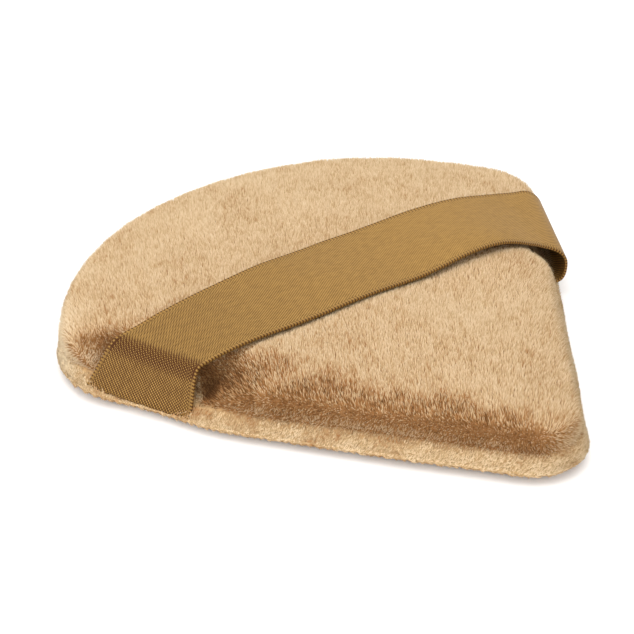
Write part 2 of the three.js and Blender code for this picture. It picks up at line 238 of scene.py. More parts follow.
def grained(made, texture, cell, shade, stops, colour, strength, distance):
    """Gives a new material a tone and a relief that follow a texture of cells, shaded between its cells."""
    material, tree, shader = made
    kind, output, inputs = texture
    place = add_node(tree, "ShaderNodeTexCoord")
    cells = add_node(tree, kind, None, {"Vector": place.outputs["Object"], "Scale": 1 / cell, **inputs})
    height = cells.outputs[output]
    tone = add_node(tree, "ShaderNodeValToRGB", None, {0: height})
    set_ramp(tone, [(stops[0], [shade * c for c in colour]), (stops[1], colour)])
    dress(tree, shader, tone.outputs[0], (strength, distance, height))
    return material


FUZZ = ("ShaderNodeTexNoise", 0, {"Detail": 2.0})
BUBBLES = ("ShaderNodeTexVoronoi", "Distance", {})


def velour_backing_material(name, backing):
    """Knitted polyester ground: matt, and seen only as shade between the tufts."""
    return grained(new_material(name, 0.9, 0.2), FUZZ, 0.6 * MM, 0.7, (0.3, 0.7), backing, 0.5, 0.1 * MM)


def foam_material(pad):
    """Open-cell polyurethane foam: cream, matt and pitted with small cells."""
    made = new_material("polyurethane foam", 0.95)
    return grained(made, BUBBLES, 0.7 * MM, 0.55, (0.1, 0.5), pad.foam, 0.6, 0.2 * MM)


def thread_material(sewing):
    """Spun polyester sewing thread: matt, with a faint fuzz that greys its plies."""
    made = new_material("spun polyester thread", 0.7)
    return grained(made, FUZZ, 0.15 * MM, 0.65, (0.3, 0.65), sewing.colour, 0.4, 0.03 * MM)


def satin_material(ribbon):
    """Polyester satin ribbon: fine diagonal lines where it lies flat, open rows of bright warp floats where
    it bends from the light, and a smooth selvedge with a beaded rim along each edge. Shade is painted where
    it turns from the light and along its rim."""
    material, tree, shader = new_material("polyester satin ribbon", 0.5, 0.12)
    node, step = partial(add_node, tree), partial(result, tree, "ShaderNodeMath")

    def wave(turns):
        return step("ABSOLUTE", step("SINE", step("MULTIPLY", turns, math.pi)))

    weave = node("ShaderNodeUVMap", {"uv_map": "weave"})
    axes = node("ShaderNodeSeparateXYZ", None, {0: weave.outputs[0]})
    along, across = axes.outputs[0], axes.outputs[1]
    bend = node("ShaderNodeAttribute", {"attribute_name": "bend"}).outputs["Fac"]
    row = step("DIVIDE", across, ribbon.float_width)
    place = node("ShaderNodeCombineXYZ", None, {
        0: step("DIVIDE", along, 2 * ribbon.float_length), 1: step("MULTIPLY", step("FLOOR", row), 1.7)})
    yarn = node("ShaderNodeTexNoise", None,
                {"Vector": place.outputs[0], "Scale": 1.0, "Detail": 1.0}).outputs[0]

    # Flat ribbon: a diagonal twill, whose contrast grows as the ribbon bends, with painted shade as it turns
    # from the light
    slant, middle, brightness = 0.734, 0.64, 0.45
    twill = wave(step("SUBTRACT", step("DIVIDE", along, ribbon.float_length), step("MULTIPLY", row, slant)))
    contrast = step("ADD", step("MULTIPLY", bend, 1.4), 0.45)
    twill = step("ADD", step("MULTIPLY", step("SUBTRACT", twill, middle), contrast), brightness)
    yarn_and_shade = step("SUBTRACT", step("MULTIPLY", yarn, 0.45), step("MULTIPLY", bend, 0.4))
    flat = step("ADD", twill, yarn_and_shade)

    # Bent ribbon: rows of short floats that lie closer, drawn out into lines where it bends most
    closer, shorter, stagger = 0.79, 0.8, 0.38
    close = step("DIVIDE", row, closer)
    offset = step("SUBTRACT", step("DIVIDE", along, shorter * ribbon.float_length),
                  step("MULTIPLY", step("FLOOR", close), stagger))
    drawn = step("MINIMUM", step("MULTIPLY", step("SUBTRACT", bend, 0.5), 4.0), 1.0)
    dash = step("MAXIMUM", wave(offset), step("MULTIPLY", drawn, 0.4))
    short = step("MULTIPLY", wave(close), step("MULTIPLY", dash, step("ADD", yarn, 0.6)))
    long = step("MULTIPLY", wave(row), step("ADD", dash, 0.1))
    rows = node("ShaderNodeMix", None, {0: drawn, 2: short, 3: long}).outputs[0]
    gaps = node("ShaderNodeMix", None, {0: drawn, 2: 0.33, 3: 0.45}).outputs[0]
    rows = step("SUBTRACT", step("MULTIPLY", rows, 1.7), gaps)
    bent = step("MULTIPLY", step("SUBTRACT", bend, 0.3), 4.0)
    floats = node("ShaderNodeMix", None, {0: bent, 2: flat, 3: rows}).outputs[0]

    # Selvedge: a smooth border, a row of holes inside it and a rim of beads
    rim_width, selvedge_width, hole_place, hole_size = 0.3 * MM, 0.6 * MM, 0.55 * MM, 0.12 * MM
    edge = step("SUBTRACT", ribbon.width / 2, step("ABSOLUTE", step("SUBTRACT", across, ribbon.width / 2)))
    beads = wave(step("DIVIDE", along, ribbon.bead))
    rim = step("LESS_THAN", edge, rim_width)
    selvedge = step("LESS_THAN", edge, selvedge_width)
    seam = step("LESS_THAN", step("ABSOLUTE", step("SUBTRACT", edge, hole_place)), hole_size)
    holes = step("MULTIPLY", seam, step("LESS_THAN", beads, 0.6))
    border = node("ShaderNodeMix", None, {0: rim, 2: 0.7, 3: step("MULTIPLY", beads, 0.9)}).outputs[0]
    lit = node("ShaderNodeMix", None, {0: selvedge, 2: floats, 3: border}).outputs[0]
    lit = step("MULTIPLY", lit, step("SUBTRACT", 1.0, step("MULTIPLY", holes, 0.7)))
    tone = node("ShaderNodeMix", {"data_type": "RGBA"},
                {0: lit, 6: (*ribbon.shade, 1), 7: (*ribbon.satin, 1)}).outputs[2]
    # Painted shade: darker where the ribbon bends from the light, and along the rim between its beads
    painted_shade = step("MULTIPLY", step("SUBTRACT", bend, 0.42), step("SUBTRACT", 4.4, step("MULTIPLY", lit, 3.4)))
    beaded_rim_shade = step("SUBTRACT", 1.3, step("MULTIPLY", beads, 1.15))
    painted_shade = node("ShaderNodeMix", None, {0: rim, 2: painted_shade, 3: beaded_rim_shade}).outputs[0]
    colour = node("ShaderNodeMix", {"data_type": "RGBA"}, {0: painted_shade, 6: tone, 7: (*ribbon.fold_shade, 1)})
    dress(tree, shader, colour.outputs[2], (0.4, 0.06 * MM, lit))
    return material


def new_piece(name, mesh):
    piece = bpy.data.objects.new(name, mesh)
    bpy.context.collection.objects.link(piece)
    return piece


def piece_from(name, bm):
    """New object whose mesh is a bmesh, with smooth faces."""
    mesh = bpy.data.meshes.new(name)
    for face in bm.faces:
        face.smooth = True
    bm.to_mesh(mesh)
    bm.free()
    return new_piece(name, mesh)


def apply_modifiers(piece):
    """Puts what the modifiers make into the piece's mesh."""
    made = piece.evaluated_get(bpy.context.evaluated_depsgraph_get())
    mesh = bpy.data.meshes.new_from_object(made)
    before = piece.data
    piece.modifiers.clear()
    piece.data = mesh
    mesh.name = piece.name
    bpy.data.meshes.remove(before)


def even_mesh(piece, cell):
    """Meshes a closed piece again in even cells."""
    remesh = piece.modifiers.new("even", "REMESH")
    remesh.mode = "VOXEL"
    remesh.voxel_size = cell
    remesh.use_smooth_shade = True
    apply_modifiers(piece)


def merged_copy(node):
    """Bmesh of a CAD node, with its loose triangles joined."""
    bm = bmesh.new()
    bm.from_mesh(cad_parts[node].data)
    bmesh.ops.remove_doubles(bm, verts=bm.verts, dist=0.01 * MM)
    return bm


def smooth_share(low, high, value):
    """0 below low, 1 above high, and a smooth rise between them."""
    t = np.clip((np.asarray(value, float) - low) / (high - low), 0, 1)
    return t * t * (3 - 2 * t)


def mm_share(low, high, value):
    """The same rise between two lengths in millimetres."""
    return smooth_share(low * MM, high * MM, value)


def vertex_array(mesh, what):
    values = np.empty(3 * len(mesh.vertices), np.float32)
    mesh.vertices.foreach_get(what, values)
    return values.reshape(-1, 3).astype(float)


def set_places(mesh, places):
    mesh.vertices.foreach_set("co", places.astype(np.float32).ravel())
    mesh.update()


def unit(vectors):
    return vectors / np.maximum(np.linalg.norm(vectors, axis=1, keepdims=True), 1e-9)


def lengths_along(points):
    """Length of a line up to each of its points."""
    return np.concatenate([[0], np.cumsum(np.linalg.norm(np.diff(points, axis=0), axis=1))])


def points_at(points, lengths, wanted):
    """Points of a line at the wanted lengths along it."""
    return np.stack([np.interp(wanted, lengths, points[:, k]) for k in range(3)], axis=1)


def skin_of(piece):
    """Search tree of a piece's surface."""
    bm = bmesh.new()
    bm.from_mesh(piece.data)
    skin = BVHTree.FromBMesh(bm)
    bm.free()
    return skin


class Plan:
    """Plan of the pad, measured from the sharp tip: the sides run along `along` and face `outward`."""

    def __init__(self, pad):
        half = pad.tip_angle / 2
        self.pad = pad
        self.along = Vector((math.sin(half), math.cos(half)))
        self.outward = Vector((math.cos(half), -math.sin(half)))
        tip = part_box("lower_cover")[0][1]
        self.apex = Vector((0, tip - pad.tip_radius * (1 / math.sin(half) - 1)))

    def edge(self, side, distance, outset):
        """Point on the edge at a distance from the sharp tip, and the way the edge faces there."""
        pad = self.pad
        turn = max(0, distance - pad.corner_start) / pad.corner_radius
        facing = Matrix.Rotation(turn, 2) @ self.outward
        centre = self.along * min(distance, pad.corner_start) - self.outward * pad.corner_radius
        point = centre + facing * (pad.corner_radius + outset)
        return self.apex + Vector((side * point.x, point.y)), Vector((side * facing.x, facing.y))

    def round_edge(self, inset, machined):
        """Points along the edge, drawn in by an inset: all but the turning gap, or along the gap."""
        pad, half = self.pad, self.pad.tip_angle / 2
        gap = math.acos(pad.turning_gap / 2 / (pad.back_radius - inset))
        back, tip = Vector((0, pad.back_centre)), Vector((0, pad.tip_radius / math.sin(half)))
        corner = self.along * pad.corner_start - self.outward * pad.corner_radius
        joint = math.atan2(corner.y - back.y, corner.x)
        if machined:
            arcs = ((back, pad.back_radius, gap, joint), (corner, pad.corner_radius, joint, -half),
                    (tip, pad.tip_radius, -half, -math.pi / 2))
        else:
            arcs = ((back, pad.back_radius, gap, math.pi / 2),)
        right = [centre + (radius - inset) * Vector((math.cos(a), math.sin(a)))
                 for centre, radius, first, last in arcs for a in np.linspace(first, last, 40)]
        points = [*right, *(Vector((-p.x, p.y)) for p in reversed(right))]
        return np.array([(p.x, p.y + self.apex.y, 0) for p in points])

    def beside(self, places, side):
        """How far along a straight side each place lies, from the sharp tip, and how far inside it."""
        x, y = side * places[:, 0], places[:, 1] - self.apex.y
        return x * self.along.x + y * self.along.y, -(x * self.outward.x + y * self.outward.y)


def ribbon_share(places, plan, ribbon, margin):
    """1 under the ribbon, and 0 outside a margin beside it."""
    skew = ribbon.skew
    across = places[:, 0] * math.sin(skew) + (places[:, 1] - plan.apex.y - ribbon.place) * math.cos(skew)
    return 1 - smooth_share(ribbon.width / 2 - margin, ribbon.width / 2 + margin, np.abs(across))


SIM_SCALE = 8  # the cloth is simulated this much larger, where its solver behaves
SIM_FRAMES = 20
FILLING_PRESSURE = 4
SEWN_FACING = 0.7  # faces that look at the seam by more than this are sewn
PILE_DRAW = 0.76  # share of the pile's length by which the upper cover is drawn in
LIP_SWELL = 0.06 * MM  # most that the filling may push the lower cover out
PINCH_IN = 0.53  # how far the ribbon draws the pad's edge in, as a share of its dip


def swell(cover, pinned, most):
    """Lets the filling push the cover out as cloth, held at its seam, by at most a given length."""
    start = vertex_array(cover.data, "co")
    set_places(cover.data, start * SIM_SCALE)
    group = cover.vertex_groups.new(name="seam")
    group.add([int(i) for i in np.flatnonzero(pinned)], 1, "REPLACE")
    cloth = cover.modifiers.new("filling", "CLOTH")
    cloth.settings.vertex_group_mass = "seam"
    cloth.settings.use_pressure = True
    cloth.settings.uniform_pressure_force = FILLING_PRESSURE
    cloth.settings.effector_weights.gravity = 0
    cloth.point_cache.frame_start = 1
    cloth.point_cache.frame_end = SIM_FRAMES
    for step in range(1, SIM_FRAMES + 1):
        bpy.context.scene.frame_set(step)
    apply_modifiers(cover)
    cover.vertex_groups.clear()
    bpy.context.scene.frame_set(1)
    moved = vertex_array(cover.data, "co") / SIM_SCALE - start
    far = np.linalg.norm(moved, axis=1, keepdims=True)
    set_places(cover.data, start + moved * np.minimum(1, most / np.maximum(far, 1e-9)))


def cover_form(name, node, pad):
    """Cover's outer form, without its inner faces and evenly meshed."""
    bm = merged_copy(node)
    hull = bmesh.ops.convex_hull(bm, input=bm.verts)
    inner = {*hull["geom_interior"], *hull["geom_unused"]}
    bmesh.ops.delete(bm, geom=[v for v in inner if isinstance(v, bmesh.types.BMVert)], context="VERTS")
    cover = piece_from(name, bm)
    even_mesh(cover, pad.voxel)
    return cover


def seam_lift(places, plan, pad):
    """Raises the seam at the tip and at the left corner, and lowers it a little at the back."""
    far = mm_share(8, 62, places[:, 1] - plan.apex.y)
    corner = mm_share(37, 40, -places[:, 0])
    shift = pad.seam_rise * (0.9 - far + 1.1 * corner)
    z, wall_top = places[:, 2], 7 * MM
    above = 1 - smooth_share(pad.seam_height, wall_top, z)
    nearness = np.where(z < pad.seam_height, z / pad.seam_height, above)
    places[:, 2] = z + shift * nearness
    return places


def flared(places, normals, plan, pad):
    """Lets the lip spread where the pad's weight presses it down, but less at the tip and the left corner."""
    most, less_at_tip, less_at_corner = 1.15, 0.4, 0.65
    outward = unit(normals * (1, 1, 0))
    edge = smooth_share(0.15, 0.5, np.linalg.norm(normals[:, :2], axis=1))
    tip = 1 - mm_share(8, 20, places[:, 1] - plan.apex.y)
    corner = mm_share(33, 39, -places[:, 0]) * smooth_share(-0.6, 0.1, outward[:, 1])
    spread = (most - less_at_tip * tip - less_at_corner * corner) * MM * edge
    spread *= 1 - smooth_share(0.6 * MM, pad.seam_height + 0.3 * MM, places[:, 2])
    return places + outward * spread[:, None]


def side_bow(places, plan):
    """Bows the left side out a little between the tip and the ribbon, and draws the right side in."""
    left_bow, corner_draw = 1.9 * MM, 0.15 * MM
    right_draw, ribbon_draw, middle_draw = 0.6 * MM, 0.9 * MM, 0.15 * MM
    along, depth = plan.beside(places, -1)
    bow = left_bow * np.clip((along - 9 * MM) / (36 * MM), 0, 1) * (1 - mm_share(47, 62, along))
    bow *= 1 - mm_share(0, 14, depth)
    places[:, 0] -= bow * plan.outward.x
    places[:, 1] += bow * plan.outward.y
    places[:, 0] += corner_draw * mm_share(24, 38, -places[:, 0])
    along, depth = plan.beside(places, 1)
    draw = right_draw * mm_share(2, 14, along)
    draw += ribbon_draw * mm_share(48, 58, along) * (1 - mm_share(60, 68, along))
    draw += middle_draw * np.exp(-((along - 32 * MM) / (6 * MM)) ** 2)
    draw *= 1 - mm_share(0, 20, depth)
    places[:, 0] -= draw * plan.outward.x
    places[:, 1] -= draw * plan.outward.y
    return places


def pinch(places, plan):
    """Presses the edge of the pad down and in where the ribbon's ends pull on it."""
    for end in RIBBON_ENDS.values():
        side, drop, draw = end["side"], MM * end["dip"], PINCH_IN * MM * end["dip"]
        near, far = MM * end["near"]["seam"][0], MM * end["far"]["seam"][0]
        along, depth = plan.beside(places, side)
        first, last = end["reach"]
        pull = smooth_share(near + first * MM, near + last * MM, along)
        pull *= 1 - smooth_share(far - 3 * MM, far + 4 * MM, along)
        pull *= 1 - mm_share(0.5, end["inset"], depth)
        height = mm_share(2.4, 7, places[:, 2])
        inward = draw * pull * (0.4 + 0.6 * height)
        places[:, 2] -= drop * pull * height
        places[:, 0] -= side * inward * plan.outward.x
        places[:, 1] -= inward * plan.outward.y
    return places


def ribbon_mound(places, plan):
    """Height to which the filling puffs up beside the right end of the ribbon."""
    height, middle, inside, length = 1.4 * MM, 43, 9, 9
    along, depth = (lengths / MM for lengths in plan.beside(places, 1))
    breadth = np.where(depth > inside, 11, 7)
    return height * np.exp(-((along - middle) / length) ** 2 - ((depth - inside) / breadth) ** 2)


def wrinkle(places, size, depth, seed):
    """Soft unevenness of stuffed cloth, as a height for each place."""
    offset = Vector((seed, 2 * seed, 3 * seed))
    return np.array([noise.noise(Vector(p) / size + offset) for p in places]) * depth


class PUFF_OT_foam(bpy.types.Operator):
    """Foam core that fills the covers."""
    bl_idname = "puff.foam"
    bl_label = "Foam core"

    def execute(self, context):
        bm = merged_copy("foam_pad")
        sharp = [e for e in bm.edges if len(e.link_faces) == 2 and e.calc_face_angle() > 1]
        bmesh.ops.bevel(bm, geom=sharp, offset=0.3 * MM, offset_type="OFFSET", affect="EDGES", segments=2,
                        profile=0.5, material=-1)
        core = piece_from("foam_core", bm)
        even_mesh(core, 1 * MM)
        core.data.materials.append(foam_material(context.scene.puff_pad))
        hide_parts("foam_pad")
        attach(core, "pad")
        return {"FINISHED"}


class PUFF_OT_covers(bpy.types.Operator):
    """Two velour covers, swelled by the foam and drawn in at their seam."""
    bl_idname = "puff.covers"
    bl_label = "Velour covers"

    def execute(self, context):
        pad, pile = context.scene.puff_pad, context.scene.puff_pile
        plan = Plan(pad)
        dark = velour_backing_material("knitted polyester backing", pad.backing)
        pale = velour_backing_material("pale knitted polyester backing", pad.pale_backing)
        for name, node, upper, ground in (("velour_upper", "upper_cover", True, dark),
                                          ("velour_lower", "lower_cover", False, pale)):
            cover = cover_form(name, node, pad)
            places, normals = vertex_array(cover.data, "co"), vertex_array(cover.data, "normal")
            sewn = normals[:, 2] * (-1 if upper else 1) > SEWN_FACING
            if upper:
                depth = np.where(sewn, 0, pile.length * PILE_DRAW)
            else:
                lip_draw, base_draw = 0.02, 0.38
                depth = (lip_draw + base_draw * smooth_share(0.3, 0.85, -normals[:, 2])) * MM * (1 - sewn)
            places -= normals * depth[:, None]
            set_places(cover.data, places if upper else flared(places, normals, plan, pad))
            swell(cover, sewn, pad.swell if upper else LIP_SWELL)
            places = seam_lift(vertex_array(cover.data, "co"), plan, pad)
            if not upper:
                places[:, 2] *= 1 + pad.lip_lap / pad.seam_height
            set_places(cover.data, side_bow(places, plan))
            if upper:
                top = smooth_share(0.5, 0.9, vertex_array(cover.data, "normal")[:, 2])
                places[:, 2] += (wrinkle(places, 11 * MM, 0.35 * MM, 3) + ribbon_mound(places, plan)) * top
                set_places(cover.data, places)
            cover.data.materials.append(ground)
            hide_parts(node)
            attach(cover, "pad")
        return {"FINISHED"}


COMB = Vector((0.558, 0.83, 0))  # the way in which the nap of the top is combed
STREAK_BREADTH, STREAK_LENGTH, STREAK_HEIGHT = 0.55 * MM, 2.2 * MM, MM  # streaks that combing leaves
STREAK_TONE = 0.3


def pile_tree(tuft, stray):
    """Geometry nodes that plant the tuft all over a cover, with the nap, length and crowding given there."""
    tree = bpy.data.node_groups.new("velour pile", "GeometryNodeTree")
    for name, way, kind in (("Geometry", "INPUT", "NodeSocketGeometry"), ("Seed", "INPUT", "NodeSocketInt"),
                            ("Geometry", "OUTPUT", "NodeSocketGeometry")):
        tree.interface.new_socket(name, in_out=way, socket_type=kind)
    node = partial(add_node, tree)
    ground = node("NodeGroupInput")
    seed = ground.outputs["Seed"]

    def output(made, name):
        return next(s for s in made.outputs if s.enabled and s.name == name)

    field, draw = {}, {}
    for name, kind in (("crowd", "FLOAT"), ("nap", "FLOAT_VECTOR"), ("reach", "FLOAT")):
        stored = node("GeometryNodeInputNamedAttribute", {"data_type": kind}, {"Name": name})
        field[name] = output(stored, "Attribute")
    for name, kind, low, high, extra in (
            ("astray", "FLOAT_VECTOR", (-stray,) * 3, (stray,) * 3, 11),
            ("turn", "FLOAT", 0.0, 2 * math.pi, 23),
            ("growth", "FLOAT", 0.75, 1.15, 37),
            ("chance", "FLOAT", 0.0, 1.0, 41)):
        chosen = node("FunctionNodeRandomValue", {"data_type": kind}, {
            "Min": low, "Max": high, "Seed": result(tree, "ShaderNodeMath", "ADD", seed, extra)})
        draw[name] = output(chosen, "Value")
    points = node("GeometryNodeDistributePointsOnFaces", None,
                  {"Mesh": ground.outputs["Geometry"], "Density": field["crowd"], "Seed": seed})
    lean = result(tree, "ShaderNodeVectorMath", "ADD", field["nap"], draw["astray"])
    stand = node("FunctionNodeAlignRotationToVector", {"axis": "Z"}, {"Vector": lean})
    turn = node("ShaderNodeCombineXYZ", None, {2: draw["turn"]})
    spin = node("FunctionNodeRotateRotation", {"rotation_space": "LOCAL"},
                {"Rotation": stand.outputs[0], "Rotate By": turn.outputs[0]})
    grown = result(tree, "ShaderNodeMath", "MULTIPLY", field["reach"], draw["growth"])
    size = node("ShaderNodeCombineXYZ", None, {0: 1.0, 1: 1.0, 2: grown})
    source = node("GeometryNodeObjectInfo", None, {"Object": tuft})
    planted = node("GeometryNodeInstanceOnPoints", None, {
        "Points": points.outputs["Points"], "Instance": source.outputs["Geometry"],
        "Rotation": spin.outputs[0], "Scale": size.outputs[0]}).outputs[0]
    place = node("GeometryNodeInputPosition")
    up = Vector((0, 0, 1))
    lines = [node("ShaderNodeVectorMath", {"operation": "DOT_PRODUCT"}, {0: place.outputs[0], 1: way})
             for way in (COMB.cross(up) / STREAK_BREADTH, COMB / STREAK_LENGTH, up / STREAK_HEIGHT)]
    combed = node("ShaderNodeCombineXYZ", None, {k: line.outputs["Value"] for k, line in enumerate(lines)})
    streaks = node("ShaderNodeTexNoise", None, {"Vector": combed.outputs[0], "Scale": 1.0, "Detail": 1.0})
    for name, value in (("chance", draw["chance"]), ("streak", streaks.outputs[0])):
        planted = node("GeometryNodeStoreNamedAttribute", {"data_type": "FLOAT", "domain": "INSTANCE"},
                       {"Geometry": planted, "Name": name, "Value": value}).outputs[0]
    made = node("GeometryNodeRealizeInstances", None, {"Geometry": planted})
    node("NodeGroupOutput", None, {"Geometry": made.outputs[0]})
    return tree


def give_field(mesh, name, values):
    """Stores a number or a vector for each vertex."""
    vector = values.ndim == 2
    attribute = mesh.attributes.new(name, "FLOAT_VECTOR" if vector else "FLOAT", "POINT")
    attribute.data.foreach_set("vector" if vector else "value", values.astype(np.float32).ravel())


def take_field(mesh, name, width):
    """Reads a stored field and removes it."""
    attribute = mesh.attributes[name]
    values = np.empty(width * len(attribute.data), np.float32)
    attribute.data.foreach_get("vector" if width == 3 else "value", values)
    mesh.attributes.remove(mesh.attributes[name])
    return values.reshape(-1, width).astype(float) if width == 3 else values.astype(float)


# Strokes of painted shade and painted light on the nap, with a few paler tufts: shade in the pocket beside
# the left flap, behind the ribbon's ends and under its edge, and light on a ridge and on the wall at the left
# end. In millimetres from the sharp tip: two ends of a stroke, its breadth and its change of tone
LIGHT_AND_SHADE_STROKES = (
    ((-25.6, 33.5, 6.1), (-18.8, 32.7, 7.5), 1.0, 0.2),
    ((-38.1, 57.9, 5.9), (-34.5, 55.7, 5.8), 1.7, -0.4),
    ((-38.8, 56.9, 4.6), (-36.7, 56.4, 4.4), 1.0, 0.4),
    ((-41.0, 59.0, 5.0), (-39.0, 67.0, 5.0), 2.8, 0.45),
    ((36.2, 53.9, 8.0), (35.2, 53.4, 8.2), 1.0, -0.3),
    ((-28.2, 44.6, 4.0), (-30.3, 41.2, 2.9), 0.6, 0.55),
    ((-27.6, 44.2, 4.6), (-28.8, 41.0, 3.6), 1.8, -0.8),
    ((-27.1, 41.4, 5.0), (-26.4, 38.4, 5.4), 2.2, -0.35),
    ((-25.0, 42.2, 6.7), (-23.8, 41.6, 7.3), 0.9, -0.3),
)


def painted_stroke_tone(places, plan):
    """Change of tone that the painted light and shade of the strokes make at each place."""
    change = np.zeros(len(places))
    origin = np.array((0, plan.apex.y, 0))
    for first, last, breadth, amount in LIGHT_AND_SHADE_STROKES:
        a, b = np.array(first) * MM + origin, np.array(last) * MM + origin
        share = np.clip(((places - a) @ (b - a)) / ((b - a) @ (b - a)), 0, 1)
        far = np.linalg.norm(places - a - share[:, None] * (b - a), axis=1)
        change += amount * np.exp(-(far / (breadth * MM)) ** 2)
    return change


def upper_nap(places, normals, plan, scene):
    """Nap of the upper cover at each place: the tufts' direction, tone with its painted light and shade,
    spread of tones, how far the painted shade at the root is lifted, softness, length and crowding."""
    top = smooth_share(0.3, 0.85, normals[:, 2])
    wall = 1 - top
    nap = normals + np.array(COMB) * (0.3 * top)[:, None]
    nap[:, 2] += 0.3 * wall
    along, depth = plan.beside(places, -1)

    # Painted shade: a brown band along the left shoulder, where the tufts are seen end on
    ragged = wrinkle(places, 2.2 * MM, 1.6 * MM, 13)
    band_depth = 3.4 * MM * mm_share(0, 14, along) * (1 - mm_share(33, 46, along))
    band = 1 - mm_share(-1.2, 1.8, depth + ragged - band_depth)
    band *= (1 - mm_share(60, 66, along)) * (1 - 0.6 * mm_share(18, 30, along))

    # Painted shade over the shoulder, deeper towards the ribbon, and painted light on the foot of the wall
    near_ribbon = mm_share(18, 31, along)
    shade_depth = (4 + 3 * mm_share(28, 37, along)) * MM
    shade = 1 - smooth_share(shade_depth - 3.5 * MM, shade_depth + 1 * MM, depth + 0.7 * ragged)
    shade *= 0.06 + 0.11 * near_ribbon + 0.07 * mm_share(33, 40, along)
    foot = wall * (1 - mm_share(3.2, 6.2, places[:, 2])) * (1 - mm_share(1, 4, depth))
    open_side = mm_share(4, 12, along) * (1 - mm_share(46, 51, along))

    patches = wrinkle(places, 7 * MM, 0.07, 5) + wrinkle(places, 1.8 * MM, 0.07, 9)
    # The wall and its band are painted darker than the top, as shade
    usual_tone, wall_tone, band_tone = 0.49, 0.02, 0.22
    tone = usual_tone + patches - wall_tone * wall - band_tone * band + painted_stroke_tone(places, plan)
    tone += open_side * ((0.2 + 0.06 * near_ribbon) * foot - shade)
    under_ribbon = ribbon_share(places, plan, scene.puff_ribbon, 0.5 * MM) * top
    crowd = (1 - smooth_share(0.6, 0.9, -normals[:, 2])) / scene.puff_pile.spacing ** 2
    return {"nap": unit(nap), "tone": tone, "vary": 0.33 + np.clip(0.5 - tone, 0, 0.5), "glow": 0.25 * top,
            "soft": 0.6 + 0 * tone, "reach": 1 - 0.6 * under_ribbon, "crowd": crowd}


def lower_nap(places, normals, plan, scene):
    """Nap of the lower cover: combed over below, and slanting up over the lip."""
    combed, upright, least_rise = (1.4, 0.5, 0), (0.3, -0.35, 0.85), 0.25
    usual_tone, lip_tone, crest_tone, left_tone = 0.44, 0.04, 0.12, 0.06
    under = smooth_share(0.3, 0.9, -normals[:, 2])
    lip = 1 - under
    nap = normals * (1 - 0.7 * lip)[:, None] + np.array(combed) * under[:, None]
    nap += np.array(upright) * lip[:, None]
    nap += normals * np.clip(least_rise - (nap * normals).sum(axis=1), 0, None)[:, None]
    patches = wrinkle(places, 5 * MM, 0.12, 7) + wrinkle(places, 1.6 * MM, 0.12, 8)
    tone = usual_tone + lip_tone * lip + patches + painted_stroke_tone(places, plan)
    tone -= crest_tone * smooth_share(0.45, 0.8, normals[:, 2])
    tone -= left_tone * lip * mm_share(30, 42, plan.beside(places, -1)[0])
    inside = smooth_share(0.6, 0.9, normals[:, 2])
    crowd = (1.5 - 0.8 * under) / scene.puff_pile.spacing ** 2 * (1 - inside)
    reach = 0.62 - 0.22 * smooth_share(0, 0.5, -normals[:, 2])
    return {"nap": unit(nap), "tone": tone, "vary": 0.24 + 0 * tone, "glow": 0.8 * lip,
            "soft": 0.6 - 0.45 * lip, "reach": reach, "crowd": crowd}


